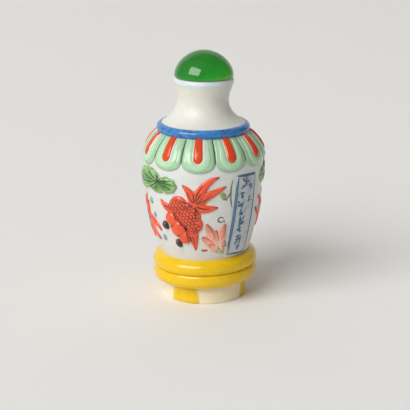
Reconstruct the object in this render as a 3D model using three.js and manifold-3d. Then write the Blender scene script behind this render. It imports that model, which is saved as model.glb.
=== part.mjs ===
// A snuff bottle of milk-white glass with coloured overlay glass carved in low relief, and its stopper.
// Millimetres, +Z up. The origin is on the bottle's axis, at the level of the foot's underside.
// The relief is drawn on the wall unrolled: x is the arc length at WALL_R from the front (-Y) towards
// +X, and y is the height.

import * as THREE from 'three';
import { mergeVertices } from 'three/addons/utils/BufferGeometryUtils.js';
import Module from 'manifold-3d';

const wasm = await Module();
wasm.setup();

// Outline of the bottle as [radius, height] stations. Pairs between two stations are curve handles.
const FOOT_RECESS = [8.6, 1.2];
const FOOT_R = 11.75;
const FOOT_EDGE = 0.4;
const FOOT_TOP_Z = 4.8;
const LOWER_RING_HANDLES = [[13.5, 4.9], [15.1, 5.9]];
const LOWER_RING = [15.05, 7.5];
const RING_SEAM_HANDLES = [[15.0, 8.6], [14.9, 9.2]];
const RING_SEAM = [14.6, 9.55];
const UPPER_RING_HANDLES = [[15.4, 9.8], [15.6, 12.7]];
const UPPER_RING_TOP = [13.6, 13.3];
const WALL_BASE = [12.75, 13.7];
const WALL_HANDLES = [[15.9, 22.6], [16.7, 31]];
const GIRTH = [17.1, 41.2];
const COLLAR_HANDLES = [[17.1, 43.9], [15.2, 46.6]];
const CORD_FOOT = [12.65, 48.79];
const CORD_CENTRE = [11.95, 50.0];
const CORD_R = 1.4;
const NECK_HANDLES = [[10.0, 52.3], [7.35, 54.7]];
const NECK = [7.3, 57.8];
const LIP_HANDLES = [[7.3, 59.4], [8.0, 61.2]];
const LIP_CENTRE = [7.4, 63.15];
const LIP_R = 1.15;
const MOUTH_R = 3.6;
const MOUTH_EDGE = 0.3;

// The two rings were laid on slightly askew, lower at the left.
const RING_LEAN = THREE.MathUtils.degToRad(1.8);

// Hollow of the bottle, with walls about 2.4 mm thick.
const FLOOR_Z = 6.4;
const FLOOR_R = 9.6;
const HOLLOW_STATIONS = [[10.6, 9], [10.7, 13.5], [12.6, 20], [14.1, 30], [14.6, 40], [13.4, 45.0]];
const HOLLOW_SHOULDER = [9.6, 49.0];
const HOLLOW_NECK_HANDLES = [[7.2, 51.4], [3.6, 52]];
const MOUTH_FOOT_Z = 55.5;

// Stopper: a dome with a short plug that stands clear in the mouth.
const SEAT_GAP = 0.05;
const DOME_R = 8.4;
const DOME_H = 7.45;
const DOME_HANDLES = [[8.4, 67.9], [4.7, 71.8]];
const DOME_EDGE = 0.35;
const PLUG_R = 3.3;
const PLUG_FOOT_Z = 60.6;

// Relief: how far each level stands out of the wall.
const WALL_R = 16;

// How far the axis strays sideways above the rings: pairs of height and shift.
const AXIS_SWAY = [[13.7, 0], [19, -0.3], [46, -0.35], [55, -0.65], [64.3, -0.3]];
const FIN_HEIGHT = 0.5;
const LEAF_HEIGHT = 1.0;
const BODY_HEIGHT = 1.0;
const HEAD_HEIGHT = 1.35;
const PLAQUE_HEIGHT = 0.35;
const BORDER_HEIGHT = 0.6;
const LAPPET_HEIGHT = 0.5;
const HEART_HEIGHT = 0.95;

const TURNS = 33;
const HOLLOW_TURNS = 22;
const CURVE_STEPS = 4;
const RELIEF_STEPS = 4;
const REACHES = [7, 13, 19, 42];
const MERGE_WITHIN = 0.02;

// Lappets of the collar.
const LAPPET_COUNT = 11;
const LAPPET_SHIFT = THREE.MathUtils.degToRad(-5.25);
const LAPPET_TIP_Z = 40.3;
const LAPPET_SIDE_Z = 43.0;
const COLLAR_TOP_Z = 50.2;
const GROOVE = 0.5;
const HEART_WIDTH = 2.8;
const HEART_TIP_Z = 42.7;

// Panel: leans a little, and widens downwards.
const PANEL_CORNERS = [[7.7, 15.2], [15.6, 14.6], [16.0, 38.9], [9.3, 39.2]];
const BORDER_WIDTH = 0.6;
const STROKE_ROWS = 6;
const STROKE_LENGTH = 2.6;
const STROKE_THICKNESS = 0.7;

function plane([x, y]) {
  return new THREE.Vector2(x, y);
}

function curve(from, [first, second], to, steps = CURVE_STEPS) {
  return new THREE.CubicBezierCurve(plane(from), plane(first), plane(second), plane(to))
    .getPoints(steps)
    .slice(1);
}

function arc([r, z], radius, fromAngle, toAngle, steps = CURVE_STEPS) {
  return new THREE.EllipseCurve(r, z, radius, radius, fromAngle, toAngle).getPoints(steps);
}

// A closed mesh as a solid: shared corners merged, triangles without area at the poles left out.
function toSolid(geometry) {
  geometry.deleteAttribute('normal');
  geometry.deleteAttribute('uv');
  const merged = mergeVertices(geometry, 1e-4);
  const corners = merged.index.array;
  const kept = [];
  for (let i = 0; i < corners.length; i += 3) {
    const [a, b, c] = corners.slice(i, i + 3);
    if (a !== b && b !== c && c !== a) {
      kept.push(a, b, c);
    }
  }
  return new wasm.Manifold(new wasm.Mesh({
    numProp: 3,
    vertProperties: merged.attributes.position.array,
    triVerts: Uint32Array.from(kept),
  }));
}

function toGeometry(solid) {
  const { vertProperties, triVerts } = solid.getMesh();
  const geometry = new THREE.BufferGeometry();
  geometry.setAttribute('position', new THREE.BufferAttribute(vertProperties, 3));
  geometry.setIndex(new THREE.BufferAttribute(triVerts, 1));
  geometry.computeVertexNormals();
  return geometry;
}

function joined(solids) {
  return solids.reduce((whole, next) => whole.add(next));
}

// Turns a profile, whose points run from the axis round to the axis again, about +Z.
function turned(profile, turns = TURNS) {
  return toSolid(new THREE.LatheGeometry(profile, turns).rotateX(Math.PI / 2));
}

// The wall between the rings and the cord, from below upwards.
function wallPoints() {
  return [
    plane(WALL_BASE),
    ...curve(WALL_BASE, WALL_HANDLES, GIRTH, 5),
    ...curve(GIRTH, COLLAR_HANDLES, CORD_FOOT, 4),
  ];
}

// Tips the band of the rings about +Y: the right side up, the left side down.
function leaned(solid) {
  return solid.warp((point) => {
    if (point[2] > FOOT_TOP_Z - 0.01 && point[2] < WALL_BASE[1] + 0.01) {
      point[2] += point[0] * Math.tan(RING_LEAN);
    }
  });
}

function swayAt(z) {
  const next = AXIS_SWAY.findIndex(([level]) => level > z);
  if (next === 0) {
    return 0;
  }
  if (next < 0) {
    return AXIS_SWAY.at(-1)[1];
  }
  const [[lowZ, low], [highZ, high]] = AXIS_SWAY.slice(next - 1, next + 1);
  return THREE.MathUtils.mapLinear(z, lowZ, highZ, low, high);
}

// Shifts each level sideways, as the axis of a bottle finished by hand strays a little.
function swayed(solid) {
  return solid.warp((point) => {
    point[0] += swayAt(point[2]);
  });
}

function outerProfile() {
  return [
    plane([0, FOOT_RECESS[1]]),
    plane([FOOT_RECESS[0], FOOT_RECESS[1]]),
    plane([FOOT_RECESS[0] + FOOT_EDGE, 0]),
    plane([FOOT_R - FOOT_EDGE, 0]),
    plane([FOOT_R, FOOT_EDGE]),
    plane([FOOT_R, FOOT_TOP_Z]),
    ...curve([FOOT_R, FOOT_TOP_Z], LOWER_RING_HANDLES, LOWER_RING),
    ...curve(LOWER_RING, RING_SEAM_HANDLES, RING_SEAM, 2),
    ...curve(RING_SEAM, UPPER_RING_HANDLES, UPPER_RING_TOP),
    ...wallPoints(),
    ...arc(CORD_CENTRE, CORD_R, THREE.MathUtils.degToRad(-60), Math.PI / 2, 4),
    ...curve([CORD_CENTRE[0], CORD_CENTRE[1] + CORD_R], NECK_HANDLES, NECK),
    ...curve(NECK, LIP_HANDLES, [LIP_CENTRE[0] + 1.05, LIP_CENTRE[1] - 0.45], 3),
    ...arc(LIP_CENTRE, LIP_R, THREE.MathUtils.degToRad(-20), Math.PI / 2, 3),
    plane([0, LIP_CENTRE[1] + LIP_R]),
  ];
}

function hollowProfile() {
  const lipTop = LIP_CENTRE[1] + LIP_R;
  return [
    plane([0, FLOOR_Z]),
    plane([FLOOR_R, FLOOR_Z]),
    ...HOLLOW_STATIONS.map(plane),
    plane(HOLLOW_SHOULDER),
    ...curve(HOLLOW_SHOULDER, HOLLOW_NECK_HANDLES, [MOUTH_R, MOUTH_FOOT_Z], 4),
    plane([MOUTH_R, lipTop - MOUTH_EDGE]),
    plane([MOUTH_R + 2 * MOUTH_EDGE, lipTop + MOUTH_EDGE]),
    plane([0, lipTop + MOUTH_EDGE]),
  ];
}

// The wall turned again, a level higher: what the relief of that level is cut down to.
function raisedWall(height) {
  const wall = wallPoints().map(({ x, y }) => plane([x + height, y]));
  return turned([plane([0, wall[0].y]), ...wall, plane([0, wall.at(-1).y])]);
}

// A shape on the unrolled wall, carried straight in and out through the wall, ring by ring.
function through(shape) {
  const steps = REACHES.length - 1;
  const block = new THREE.ExtrudeGeometry(shape, {
    depth: steps,
    steps,
    bevelEnabled: false,
    curveSegments: RELIEF_STEPS,
  });
  const place = block.attributes.position;
  for (let i = 0; i < place.count; i += 1) {
    const angle = place.getX(i) / WALL_R;
    const reach = REACHES[Math.round(place.getZ(i))];
    place.setXYZ(i, reach * Math.sin(angle), -reach * Math.cos(angle), place.getY(i));
  }
  return toSolid(block);
}

function relief(shapes, height) {
  return joined(shapes.map(through)).intersect(raisedWall(height));
}

// A point drawn in a motif's own frame (x forwards, y to its left), brought to the wall.
function placed([x, y], [centreX, centreZ], heading) {
  return plane([x, y]).rotateAround(plane([0, 0]), heading).add(plane([centreX, centreZ]));
}

// A lobe grows from its root to a rounded tip: two curves, whose handles stand out by the width.
function lobe(root, tip, width) {
  const along = tip.clone().sub(root);
  const side = plane([-along.y, along.x]).normalize().multiplyScalar(width / 1.4);
  const leftRoot = root.clone().addScaledVector(along, 0.3).add(side);
  const rightRoot = root.clone().addScaledVector(along, 0.3).sub(side);
  const leftTip = tip.clone().addScaledVector(along, 0.02).addScaledVector(side, 0.6);
  const rightTip = tip.clone().addScaledVector(along, 0.02).addScaledVector(side, -0.6);
  const shape = new THREE.Shape();
  shape.moveTo(root.x, root.y);
  shape.bezierCurveTo(leftRoot.x, leftRoot.y, leftTip.x, leftTip.y, tip.x, tip.y);
  shape.bezierCurveTo(rightTip.x, rightTip.y, rightRoot.x, rightRoot.y, root.x, root.y);
  return shape;
}

function oval({ x, y }, halfLength, halfWidth, turn = 0) {
  return new THREE.Shape().absellipse(x, y, halfLength, halfWidth, 0, 2 * Math.PI, false, turn);
}

// A leaf's rim waves in and out as it goes round.
function wavyOval([x, z], halfWidth, halfHeight, waves) {
  const rim = [];
  const steps = waves * 3;
  for (let i = 0; i < steps; i += 1) {
    const angle = i / steps * 2 * Math.PI;
    const swell = 1 - 0.07 * Math.cos(waves * angle);
    rim.push(plane([x + halfWidth * swell * Math.cos(angle), z + halfHeight * swell * Math.sin(angle)]));
  }
  return new THREE.Shape(rim);
}

function wallRadius(z) {
  const wall = wallPoints();
  const above = wall.findIndex((station) => station.y >= z);
  const [low, high] = [wall[above - 1], wall[above]];
  return THREE.MathUtils.mapLinear(z, low.y, high.y, low.x, high.x);
}

// A bead fused into the wall, standing out of it by the given height.
function bead({ x, y }, radius, height) {
  const angle = x / WALL_R;
  const reach = wallRadius(y) + height - radius;
  const ball = new THREE.SphereGeometry(radius, 8, 5);
  return toSolid(ball.translate(reach * Math.sin(angle), -reach * Math.cos(angle), y));
}

// A goldfish seen from above, about 20 mm long with its tail, swimming towards its heading.
function goldfish(centre, heading) {
  const at = (x, y) => placed([x, y], centre, heading);
  const tailRoot = at(-4.2, -1.0);
  const fins = [
    lobe(at(0.8, -3.4), at(2.8, -9.0), 2.8),
    lobe(at(0.4, 2.0), at(4.6, 8.2), 3.2),
    lobe(tailRoot, at(-6.4, -8.1), 2.8),
    lobe(tailRoot, at(-12.4, -5.2), 3.8),
    lobe(at(-9.5, -4.6), at(-15.2, -3.4), 2.2),
    lobe(tailRoot, at(-14.7, 0.1), 3.0),
    lobe(tailRoot, at(-9.0, 2.8), 2.6),
  ];
  const trunk = [
    oval(at(-1.1, -1.2), 3.7, 5.8, heading),
    lobe(at(1.5, -1), at(-8.0, -2.0), 3.6),
  ];
  const head = [oval(at(3.7, 0.2), 2.4, 5.0, heading)];
  return [
    relief(fins, FIN_HEIGHT),
    relief(trunk, BODY_HEIGHT),
    relief(head, HEAD_HEIGHT),
    bead(at(6.9, -2.8), 1.1, 1.2),
    bead(at(7.2, 3.5), 1.1, 1.2),
  ];
}

// A lotus leaf of two lobes, folded along its middle.
function lotusLeaf([x, z], side) {
  return [relief([
    wavyOval([x, z], 5.9, 2.7, 7),
    wavyOval([x - side * 5.2, z + 0.7], 5.4, 3.1, 7),
  ], LEAF_HEIGHT)];
}

// A lotus flower: pointed petals fanned out from one root.
function lotusFlower(centre) {
  const petals = [[-4.5, 1.2], [-3.4, 5.3], [-0.7, 3.4], [2.1, 4.9], [2.9, -1.2]];
  const root = plane(centre).add(plane([0, -1.6]));
  return [
    relief(petals.map((tip) => lobe(root, plane(centre).add(plane(tip)), 3.0)), FIN_HEIGHT),
    relief([oval(plane(centre), 2.2, 2.0)], LEAF_HEIGHT),
  ];
}

function bubbles(places) {
  return places.map((place) => bead(plane(place), 1.0, 0.55));
}

// A slanted four-cornered shape, drawn in from its corners by an inset.
function panelShape(inset) {
  const [lowLeft, lowRight, highRight, highLeft] = PANEL_CORNERS;
  return new THREE.Shape([
    plane([lowLeft[0] + inset, lowLeft[1] + inset]),
    plane([lowRight[0] - inset, lowRight[1] + inset]),
    plane([highRight[0] - inset, highRight[1] - inset]),
    plane([highLeft[0] + inset, highLeft[1] - inset]),
  ]);
}

// A plaque with a raised border and one column of short level strokes, which are no letters.
function panel() {
  const border = panelShape(0);
  border.holes.push(panelShape(BORDER_WIDTH));
  const [lowLeft, , , highLeft] = PANEL_CORNERS;
  const strokes = [];
  for (let row = 0; row < STROKE_ROWS; row += 1) {
    const t = (row + 0.5) / STROKE_ROWS;
    const x = THREE.MathUtils.lerp(lowLeft[0], highLeft[0], t) + 2.2;
    const z = THREE.MathUtils.lerp(lowLeft[1] + 1, highLeft[1] - 1, t);
    strokes.push(new THREE.Shape([
      plane([x - STROKE_LENGTH / 2, z - STROKE_THICKNESS / 2]),
      plane([x + STROKE_LENGTH / 2, z - STROKE_THICKNESS / 2]),
      plane([x + STROKE_LENGTH / 2, z + STROKE_THICKNESS / 2]),
      plane([x - STROKE_LENGTH / 2, z + STROKE_THICKNESS / 2]),
    ]));
  }
  return [
    relief([panelShape(0)], PLAQUE_HEIGHT),
    relief([border, ...strokes], BORDER_HEIGHT),
  ];
}

// The collar: lappets with round lower ends hang from the cord, each with a raised heart.
function collar() {
  const pitch = 2 * Math.PI * WALL_R / LAPPET_COUNT;
  const half = (pitch - GROOVE) / 2;
  const lappets = [];
  const hearts = [];
  for (let i = 0; i < LAPPET_COUNT; i += 1) {
    const x = LAPPET_SHIFT * WALL_R + i * pitch;
    const lappet = new THREE.Shape();
    lappet.moveTo(x + half, LAPPET_SIDE_Z);
    lappet.lineTo(x + half, COLLAR_TOP_Z);
    lappet.lineTo(x - half, COLLAR_TOP_Z);
    lappet.lineTo(x - half, LAPPET_SIDE_Z);
    lappet.absellipse(x, LAPPET_SIDE_Z, half, LAPPET_SIDE_Z - LAPPET_TIP_Z, Math.PI, 2 * Math.PI);
    lappets.push(lappet);
    const heart = new THREE.Shape();
    const round = HEART_WIDTH / 2;
    heart.moveTo(x + round, COLLAR_TOP_Z);
    heart.lineTo(x - round, COLLAR_TOP_Z);
    heart.absarc(x, HEART_TIP_Z + round, round, Math.PI, 2 * Math.PI);
    hearts.push(heart);
  }
  return [
    relief(lappets, LAPPET_HEIGHT),
    relief(hearts, HEART_HEIGHT),
  ];
}

function bottleSolid() {
  const degrees = THREE.MathUtils.degToRad;
  const motifs = [
    ...collar(),
    ...panel(),
    ...goldfish([-4.9, 26.5], degrees(-138)),
    ...goldfish([-30.0, 23.5], degrees(160)),
    ...goldfish([33.5, 26.0], degrees(-20)),
    ...lotusLeaf([-13.4, 36.1], 1),
    ...lotusLeaf([25.0, 36.8], -1),
    ...lotusLeaf([48.5, 35.2], 1),
    ...lotusFlower([4.1, 20.2]),
    ...lotusFlower([50.3, 22.0]),
    ...bubbles([[-17.5, 30], [-16.3, 26], [-13.2, 19.8], [42, 30], [-41.5, 31]]),
  ];
  const straight = joined([leaned(turned(outerProfile())), ...motifs])
    .subtract(turned(hollowProfile(), HOLLOW_TURNS))
    .asOriginal()
    .simplify(MERGE_WITHIN);
  return swayed(straight);
}

function stopperSolid() {
  const seatZ = LIP_CENTRE[1] + LIP_R + SEAT_GAP;
  return swayed(turned([
    plane([0, PLUG_FOOT_Z]),
    plane([PLUG_R - DOME_EDGE, PLUG_FOOT_Z]),
    plane([PLUG_R, PLUG_FOOT_Z + DOME_EDGE]),
    plane([PLUG_R, seatZ]),
    plane([DOME_R - DOME_EDGE, seatZ]),
    plane([DOME_R, seatZ + DOME_EDGE]),
    ...curve([DOME_R, seatZ + DOME_EDGE], DOME_HANDLES, [0, seatZ + DOME_H], 7),
  ], HOLLOW_TURNS));
}

function part(name, solid, colour, roughness) {
  const material = new THREE.MeshStandardMaterial({ color: colour, roughness, metalness: 0 });
  const mesh = new THREE.Mesh(toGeometry(solid), material);
  mesh.name = name;
  return mesh;
}

const snuffBottle = new THREE.Group();
snuffBottle.add(part('bottle', bottleSolid(), 0xe9e6df, 0.25));
snuffBottle.add(part('stopper', stopperSolid(), 0x2a822c, 0.15));

export default snuffBottle;
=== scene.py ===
from math import cos, pi, radians, sin

import bpy
import numpy as np
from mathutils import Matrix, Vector


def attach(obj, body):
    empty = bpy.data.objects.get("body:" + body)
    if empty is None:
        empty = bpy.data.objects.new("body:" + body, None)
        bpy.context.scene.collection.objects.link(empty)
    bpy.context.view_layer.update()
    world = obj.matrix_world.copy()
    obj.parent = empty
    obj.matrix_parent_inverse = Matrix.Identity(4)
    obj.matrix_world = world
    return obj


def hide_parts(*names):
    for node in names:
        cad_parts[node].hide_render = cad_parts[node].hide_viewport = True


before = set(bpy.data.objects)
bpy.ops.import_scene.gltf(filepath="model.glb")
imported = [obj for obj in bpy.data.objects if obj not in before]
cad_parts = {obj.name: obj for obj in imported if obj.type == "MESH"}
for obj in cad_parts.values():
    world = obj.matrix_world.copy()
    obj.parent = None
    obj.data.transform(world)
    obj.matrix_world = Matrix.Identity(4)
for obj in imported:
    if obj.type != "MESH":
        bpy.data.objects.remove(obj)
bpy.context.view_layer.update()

bl_info = {
    "name": "Overlay glass snuff bottle",
    "version": (1, 0, 0),
    "blender": (4, 5, 0),
    "location": "View3D > Sidebar > Snuff bottle",
    "description": "Milk glass snuff bottle with carved overlay glass and a green glass stopper",
    "category": "Object",
}

# Sizes below are in millimetres; MM brings them to the scene's metres.
MM = 0.001

# Outline of the bottle as (radius, height) stations, with curve handles between them.
FOOT_RECESS = (8.6, 1.2)
FOOT_R = 11.75
FOOT_EDGE = 0.4
FOOT_TOP_Z = 4.8
CORE_R = 14.3
LOWER_RING_HANDLES = ((13.5, 4.9), (15.1, 5.9))
LOWER_RING = (15.05, 7.5)
RING_SEAM_HANDLES = ((15.0, 8.6), (14.9, 9.2))
RING_SEAM = (14.6, 9.55)
UPPER_RING_HANDLES = ((15.4, 9.8), (15.6, 12.7))
UPPER_RING_TOP = (13.6, 13.3)
WALL_BASE = (12.75, 13.7)
WALL_HANDLES = ((15.9, 22.6), (16.7, 31.0))
GIRTH = (17.1, 41.2)
COLLAR_HANDLES = ((17.1, 43.9), (15.2, 46.6))
CORD_FOOT = (12.65, 48.79)
CORD_CENTRE = (11.95, 50.0)
CORD_R = 1.4
NECK_HANDLES = ((10.0, 52.3), (7.35, 54.7))
NECK = (7.3, 57.8)
LIP_HANDLES = ((7.3, 59.4), (8.0, 61.2))
LIP_CENTRE = (7.4, 63.15)
LIP_R = 1.15
MOUTH_R = 3.6
MOUTH_EDGE = 0.3
RING_LEAN = radians(1.8)
HOLLOW = ((0, 6.4), (8.6, 6.4), (9.6, 6.9), (10.6, 9), (10.7, 13.5), (12.6, 20), (14.1, 30), (14.6, 40),
          (13.4, 45.0), (9.6, 49.0))
HOLLOW_NECK_HANDLES = ((7.2, 51.4), (3.6, 52.0))
MOUTH_FOOT_Z = 55.5

# Stopper: a dome on a short plug.
SEAT_GAP = 0.05
DOME_R = 8.4
DOME_H = 7.45
DOME_HANDLES = ((8.4, 67.9), (4.7, 71.8))
DOME_EDGE = 0.35
PLUG_R = 3.3
PLUG_FOOT_Z = 60.6

# Yellow patches of the foot, in degrees: their middles, half their width, and what they gain below.
PATCH_MIDDLES = (-30, 80, 162, 243)
PATCH_HALF = 20.5
PATCH_FLARE = 4
PATCH_PROUD = 0.12

# Relief is drawn on the wall unrolled: x is the arc length at WALL_R from the front, z the height.
WALL_R = 16.0
SKIRT = 0.25
LAPPET_COUNT = 11
LAPPET_SHIFT = radians(-5.25) * WALL_R
LAPPET_TIP_Z = 40.3
LAPPET_SIDE_Z = 43.0
LAPPET_MIDDLE_Z = 44.6
RIDGE_R = 2.5
HEART_HALF = 1.42
COLLAR_TOP_Z = 49.2
PITCH = 2 * pi * WALL_R / LAPPET_COUNT
PLAQUE_CORNERS = ((7.7, 15.2), (15.6, 14.6), (16.0, 38.9), (9.3, 39.2))
TURNS = 256

# Motifs on the unrolled wall. Goldfish: centre and heading. Leaves: middle, the side of their small fold, and
# the share of the full height. Flowers: middle. Bubbles: middle and half-length.
GOLDFISH = (((-4.9, 26.5), radians(-138)), ((-30.0, 23.5), radians(160)), ((33.5, 26.0), radians(-20)))
LEAVES = ((-13.4, 36.1, 1, 1.0), (25.0, 36.8, -1, 0.6), (48.5, 35.2, 1, 0.9))
FLOWERS = ((4.1, 20.2), (50.3, 22.0))
BUBBLES = ((-18.0, 30.0, 1.0), (-16.8, 26.0, 0.8), (-13.7, 19.8, 1.05), (42.0, 30.0, 1.0), (-41.5, 31.0, 0.9))

# How far the axis strays sideways above the rings, as in a bottle finished by hand: heights and shifts.
AXIS_SWAY = ((13.7, 19.0, 46.0, 55.0, 64.3), (0.0, -0.3, -0.35, -0.65, -0.3))


def bezier(start, handles, end, steps):
    """Cubic curve: (1-t)^3 start + 3(1-t)^2 t first + 3(1-t) t^2 second + t^3 end, with t from 0 to 1."""
    t = np.linspace(0, 1, steps + 1)[:, None]
    first, second = np.array(handles, float)
    start, end = np.array(start, float), np.array(end, float)
    return (1 - t) ** 3 * start + 3 * (1 - t) ** 2 * t * first + 3 * (1 - t) * t ** 2 * second + t ** 3 * end


def arc(centre, radius, start, end, steps):
    """Points at centre + radius (cos a, sin a), with a from start to end in degrees."""
    a = np.radians(np.linspace(start, end, steps + 1))
    return np.stack([centre[0] + radius * np.cos(a), centre[1] + radius * np.sin(a)], axis=1)


WALL = np.concatenate([bezier(WALL_BASE, WALL_HANDLES, GIRTH, 60),
                       bezier(GIRTH, COLLAR_HANDLES, CORD_FOOT, 40)[1:]])
WALL_SLOPE = np.gradient(WALL[:, 0], WALL[:, 1])


def on_wall(x, z, height):
    """Points in metres: the wall's radius at z, turned to the angle x / WALL_R from the front, and pushed
    out by the height along the wall's normal (1, -slope) / sqrt(1 + slope^2)."""
    radius = np.interp(z, WALL[:, 1], WALL[:, 0])
    slope = np.interp(z, WALL[:, 1], WALL_SLOPE)
    lean = np.hypot(1, slope)
    reach = radius + height / lean
    angle = np.asarray(x) / WALL_R
    return np.stack([reach * np.sin(angle), -reach * np.cos(angle), z - height * slope / lean], axis=-1) * MM


def turned(profile, turns=TURNS):
    """Rings of points in metres: each (radius, height) station of the profile at equal angles about +Z."""
    angle = np.arange(turns) / turns * 2 * pi
    radius, height = profile[:, 0, None], profile[:, 1, None]
    return np.stack([radius * np.sin(angle), -radius * np.cos(angle), height + 0 * angle], axis=-1) * MM


def leaned(rings):
    """Tips the band between the foot and the wall about +Y: z grows by x tan(RING_LEAN), faded out within
    half a millimetre below the band and one millimetre above it."""
    level = rings[..., 2] / MM
    share = np.clip((level - FOOT_TOP_Z + 0.5) * 2, 0, 1) * np.clip(WALL_BASE[1] + 1 - level, 0, 1)
    return rings + np.stack([0 * level, 0 * level, share * rings[..., 0] * np.tan(RING_LEAN)], axis=-1)


class Shell:
    """A closed skin of rings of points. Poles close the first and the last ring; without them the last
    ring runs on into the first one, as on a torus. Edge and along are spread over its points."""

    def __init__(self, rings, poles=None, edge=0.0, along=0.0):
        count, sides = rings.shape[:2]
        points = rings.reshape(-1, 3)
        index = np.arange(count * sides).reshape(count, sides)
        if poles is None:
            index = np.concatenate([index, index[:1]])
        near, far = index[:-1], index[1:]
        quads = np.stack([near, np.roll(near, -1, 1), np.roll(far, -1, 1), far], axis=-1).reshape(-1, 4)
        triangles = np.concatenate([quads[:, [0, 1, 2]], quads[:, [0, 2, 3]]])
        self.edge, self.along = (np.broadcast_to(value, (count, sides)).reshape(-1) for value in (edge, along))
        if poles is not None:
            points = np.concatenate([points, np.reshape(poles, (2, 3))])
            start, end = count * sides, count * sides + 1
            first, last = index[0], index[-1]
            fans = [np.stack([np.full(sides, start), np.roll(first, -1), first], axis=-1),
                    np.stack([last, np.roll(last, -1), np.full(sides, end)], axis=-1)]
            triangles = np.concatenate([triangles] + fans)
            self.edge = np.append(self.edge, [0.0, 1.0])
            self.along = np.append(self.along, [self.along[:sides].mean(), 0.0])
        corners = points[triangles]
        volume = np.einsum("ij,ij->i", corners[:, 0], np.cross(corners[:, 1], corners[:, 2])).sum()
        self.points = points
        self.triangles = triangles if volume > 0 else triangles[:, ::-1]


def crown(s, power):
    """Height of a rounded patch from 1 at its middle, s = 0, to 0 at its rim, s = 1: sqrt(1 - s^power)."""
    return np.sqrt(np.clip(1 - s ** power, 0, 1))


class Dome:
    """A patch of overlay glass with a rounded rim. Its outline is star-shaped about its middle; a point at
    the share s of the way from the middle to the outline stands height * crown(s) out of the wall."""

    def __init__(self, outline, height, power=4.0, middle=None):
        self.outline = outline
        self.middle = outline.mean(axis=0) if middle is None else np.array(middle, float)
        self.height, self.power = height, power
        spokes = outline - self.middle
        order = np.argsort(np.arctan2(spokes[:, 1], spokes[:, 0]))
        self.angles = np.arctan2(spokes[order, 1], spokes[order, 0])
        self.reaches = np.hypot(*spokes[order].T)

    def height_at(self, x, z):
        """Height of the patch over a point of the wall, 0 outside its outline."""
        dx, dz = x - self.middle[0], z - self.middle[1]
        reach = np.interp(np.arctan2(dz, dx), self.angles, self.reaches, period=2 * pi)
        return self.height * crown(np.clip(np.hypot(dx, dz) / reach, 0, 1), self.power)

    def shell(self, rings=10):
        """Rings at s = sin(pi/2 k/rings), so that they crowd at the rim, then a skirt sunk in the wall."""
        s = np.sin(np.linspace(0, pi / 2, rings + 1))[1:]
        flat = self.middle + s[:, None, None] * (self.outline - self.middle)
        height = np.repeat((self.height * crown(s, self.power))[:, None], len(self.outline), axis=1)
        flat = np.concatenate([flat, flat[-1:]])
        height = np.concatenate([height, np.full((1, len(self.outline)), -SKIRT)])
        poles = [on_wall(*self.middle, self.height), on_wall(*self.middle, -SKIRT)]
        return Shell(on_wall(flat[..., 0], flat[..., 1], height), poles, np.append(s, 1.0)[:, None])


def envelope(patches):
    """The relief's surface: the greatest height of its patches over each point."""
    return lambda x, z: np.max([patch.height_at(x, z) for patch in patches], axis=0)


def bare_wall(x, z):
    """Height 0, under what lies on the wall itself."""
    return 0 * x


def carried(path, reach, lift, under, around):
    """A ring of points at each inner station of the path: reach cos(a) to its side, and lift off the surface
    under it, for the angles a around it. The path's ends close it."""
    heading = np.gradient(path, axis=0)
    heading /= np.linalg.norm(heading, axis=1, keepdims=True)
    across = (reach[:, None] * np.cos(around))[1:-1]
    x = path[1:-1, 0, None] - heading[1:-1, 1, None] * across
    z = path[1:-1, 1, None] + heading[1:-1, 0, None] * across
    rings = on_wall(x, z, under(x, z) + lift[1:-1])
    ends = [on_wall(*path[i], under(*path[i])) for i in (0, -1)]
    return Shell(rings, ends, np.abs(np.cos(around)), np.linspace(0, 1, len(path))[1:-1, None])


def stroke(path, width, under, thickness=0.07, sides=8):
    """A drawn line: an ellipse, as wide as the line, carried along the path. It swells as sin(pi t)^0.4."""
    swell = np.abs(np.sin(pi * np.linspace(0, 1, len(path)))) ** 0.4
    around = np.arange(sides) / sides * 2 * pi
    return carried(path, width / 2 * swell, np.sin(around) * thickness * swell[:, None], under, around)


class Blade:
    """A fin or petal of overlay glass carried along a path. At the share t of the path its half-width is
    width / 2 * sin(pi t^0.6)^0.65; v of the way across, it stands height * sqrt(1 - |v|^2.6) out of the wall,
    and this height falls with the square root of the width."""

    def __init__(self, path, width, height):
        self.path, self.height = path, height
        self.taper = np.clip(np.sin(pi * np.linspace(0, 1, len(path)) ** 0.6), 0, 1) ** 0.65
        self.reach = width / 2 * self.taper

    def height_at(self, x, z):
        """Height of the blade over a point of the wall, 0 beside it."""
        gap = np.hypot(np.asarray(x)[..., None] - self.path[:, 0], np.asarray(z)[..., None] - self.path[:, 1])
        across = np.clip(gap / (self.reach + 1e-6), 0, 1)
        return (self.height * np.sqrt(self.taper) * crown(across, 2.6)).max(axis=-1)

    def shell(self, sides=24):
        """Its upper side, and a skirt sunk in the wall, all round each station of the path."""
        around = np.arange(sides) / sides * 2 * pi
        top = self.height * np.sqrt(self.taper)[:, None] * crown(np.abs(np.cos(around)), 2.6)
        lift = np.where(np.sin(around) > 1e-6, top, -SKIRT * np.sqrt(np.abs(np.sin(around))))
        return carried(self.path, self.reach, lift, bare_wall, around)


def bowl(x, z, half, drop, count):
    """The lower half of an ellipse about (x, z), from its left end to its right end."""
    a = np.linspace(pi, 2 * pi, count)
    return np.stack([x + half * np.cos(a), z + drop * np.sin(a)], axis=1)


def bowed(root, tip, bow, steps=24):
    """A curve from the root to the tip, its middle pushed about 0.75 of the bow to the left."""
    root, tip = np.array(root, float), np.array(tip, float)
    along = tip - root
    side = np.array([-along[1], along[0]]) / np.hypot(*along) * bow
    return bezier(root, (root + along / 3 + side, root + along * 2 / 3 + side), tip, steps)


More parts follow.
